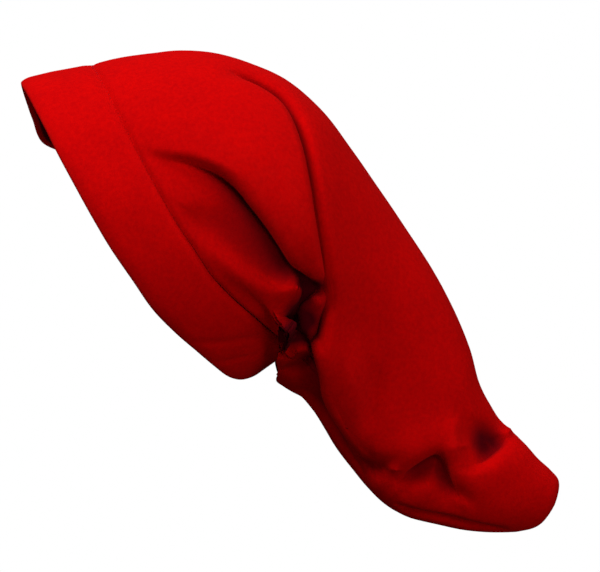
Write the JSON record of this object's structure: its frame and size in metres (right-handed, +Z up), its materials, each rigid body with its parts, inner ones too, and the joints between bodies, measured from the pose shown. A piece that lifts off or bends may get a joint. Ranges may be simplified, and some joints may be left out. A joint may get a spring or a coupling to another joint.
{
  "type": "dwarf costume hat",
  "caption": "Soft pointed cloth cap: a doubled band round the head opening and a two-panel bag whose long rounded end folds over behind and hangs past the nape.",
  "frame": {"origin": "middle of the head opening, half way between the forehead edge and the nape edge of the band", "axes": "+Z up and -X the way the wearer faces, with the head opening tilted as the hat is worn; -Y is the wearer's left, the side that the picture shows"},
  "size_m": [0.3026, 0.1624, 0.2703],
  "materials": {
    "panel_cloth": "brushed matt cotton, deep red",
    "band_cloth": "the same brushed cotton, folded double",
    "thread": "red sewing thread"
  },
  "bodies": {
    "root": {"hem_band": "band_cloth", "left_panel": "panel_cloth", "right_panel": "panel_cloth"}
  },
  "joints": []
}
